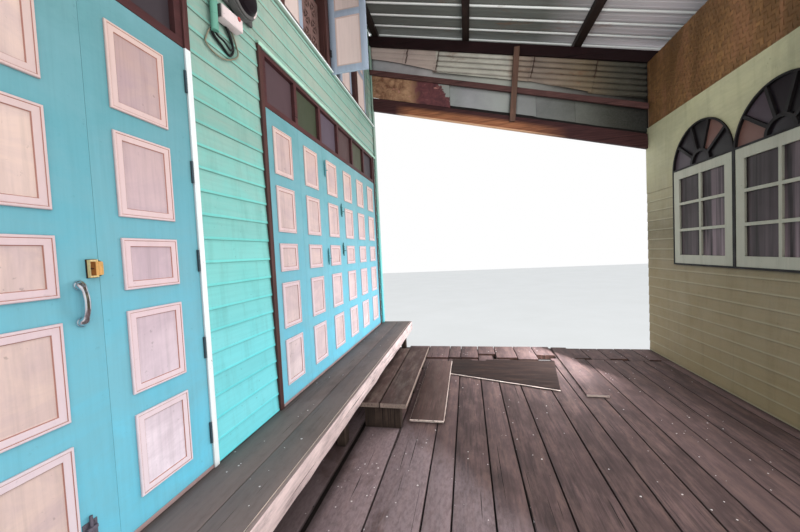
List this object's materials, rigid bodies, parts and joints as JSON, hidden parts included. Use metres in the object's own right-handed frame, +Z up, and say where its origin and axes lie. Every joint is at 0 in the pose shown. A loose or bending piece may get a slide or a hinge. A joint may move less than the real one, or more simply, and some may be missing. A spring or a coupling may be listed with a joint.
{
  "type": "timber stilt house",
  "caption": "Two-storey timber stilt house with folding panelled doors, a covered boardwalk and a kitchen wing with arched windows under one long lean-to roof.",
  "frame": {"origin": "on the ground at the centre of the plan of the whole house, roof overhangs included", "axes": "+X from the two-storey range across the boardwalk to the kitchen wing, +Y along the boardwalk, +Z up"},
  "size_m": [11.11, 7.097, 8.9064],
  "materials": {
    "weathered_deck": "weathered, unpainted",
    "dark_timber": "rough sawn, dark with age",
    "ledge_wood": "worn planks with pale edges",
    "mint_boards": "mint green paint, chalky and worn",
    "white_paint": "white paint, chipped",
    "brown_frame": "red-brown stain",
    "door_paint": "turquoise paint with pink panels",
    "tinted_glass": "tinted, dusty",
    "dark_iron": "dark, worn",
    "brass": "polished, scratched",
    "chrome": "polished",
    "meter_paint": "matte grey-green",
    "shutter_paint": "pale blue paint with cream panels",
    "roof_sheet": "grey zinc, dull, rust-stained",
    "red_beam": "red-brown, rough",
    "cream_boards": "cream paint, aged",
    "bamboo_weave": "woven bamboo strips",
    "dark_frame": "near-black paint",
    "sash_paint": "off-white paint, aged"
  },
  "bodies": {
    "root": {"stilts": "dark_timber", "bearers": "dark_timber", "house_joists": "dark_timber", "deck_joists": "dark_timber", "floors": "weathered_deck", "deck_boards": "weathered_deck", "deck_patches": "weathered_deck", "ledge_planks": "ledge_wood", "ledge_frame": "dark_timber", "step_boards": "ledge_wood", "front_piers": "mint_boards", "near_jambs": "white_paint", "far_jambs": "brown_frame", "near_folding_doors": "door_paint", "far_folding_doors": "door_paint", "transoms": "brown_frame", "glass_panes": "tinted_glass", "door_fittings": "dark_iron", "rim_latch": "brass", "bow_handle": "chrome", "meter_box": "meter_paint", "front_bands": "mint_boards", "upper_posts": "brown_frame", "closed_shutters": "shutter_paint", "open_shutter": "shutter_paint", "carved_panel": "brown_frame", "party_walls": "mint_boards", "back_wall": "mint_boards", "main_rafters": "dark_timber", "main_purlins": "dark_timber", "main_roof_sheets": "roof_sheet", "ridge_cap": "roof_sheet", "deck_rafters": "red_beam", "end_beams": "red_beam", "end_struts": "dark_timber", "end_sheets": "roof_sheet", "deck_purlins": "dark_timber", "deck_roof_sheets": "roof_sheet", "wing_wall": "cream_boards", "bamboo_panel": "bamboo_weave", "wing_end_walls": "cream_boards", "wing_back_wall": "cream_boards", "window_frames": "dark_frame", "window_sashes": "sash_paint", "fanlights": "dark_frame"}
  },
  "joints": []
}
